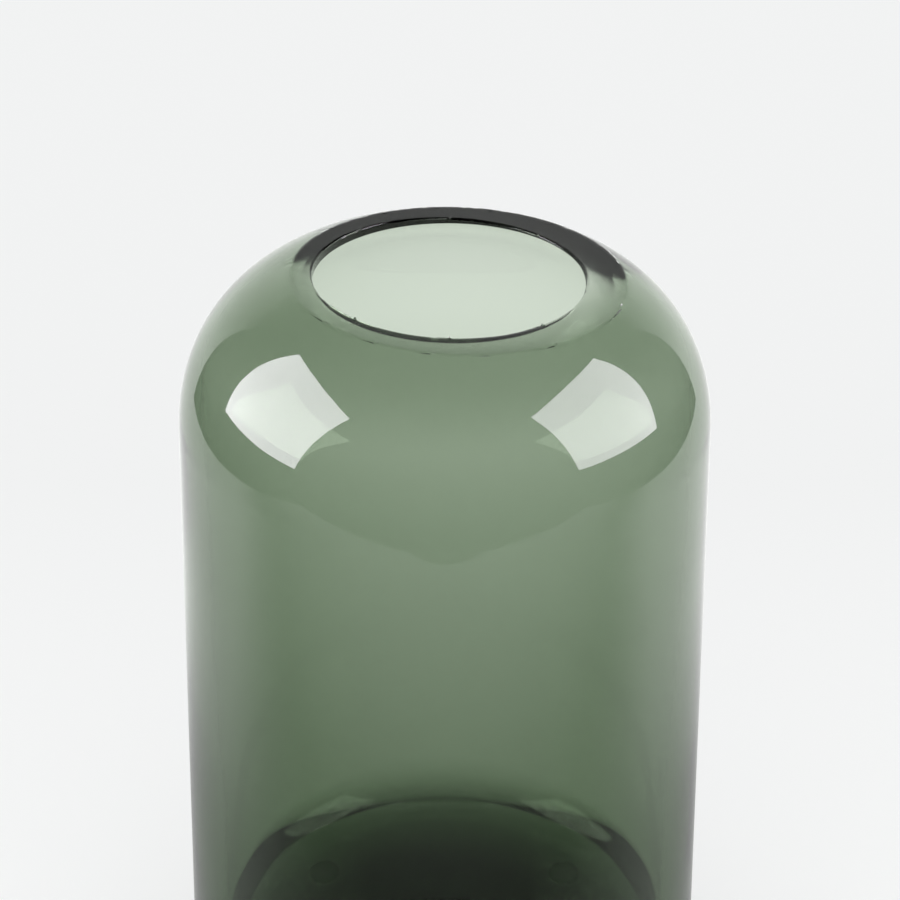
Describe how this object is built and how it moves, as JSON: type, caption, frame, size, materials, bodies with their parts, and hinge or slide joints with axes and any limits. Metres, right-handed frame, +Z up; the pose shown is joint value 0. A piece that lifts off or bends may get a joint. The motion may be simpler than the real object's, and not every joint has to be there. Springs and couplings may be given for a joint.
{
  "type": "glass cylinder vase",
  "caption": "Heavy smoke-glass cylinder vase with a rounded shoulder, narrow ground mouth, thick base and clear bumpers.",
  "frame": {"origin": "on the table, under the middle of the vase", "axes": "+Z up along the body; front is -Y; the ground rim falls slightly towards +X"},
  "size_m": [0.15, 0.15, 0.2413],
  "materials": {
    "smoke_glass": "fire-polished inside and out, rim and pontil ground satin",
    "clear_bumper": "clear soft polyurethane, gloss"
  },
  "bodies": {
    "root": {"glass_body": "smoke_glass", "bumper_front_left": "clear_bumper", "bumper_front_right": "clear_bumper", "bumper_back_left": "clear_bumper", "bumper_back_right": "clear_bumper"}
  },
  "joints": []
}
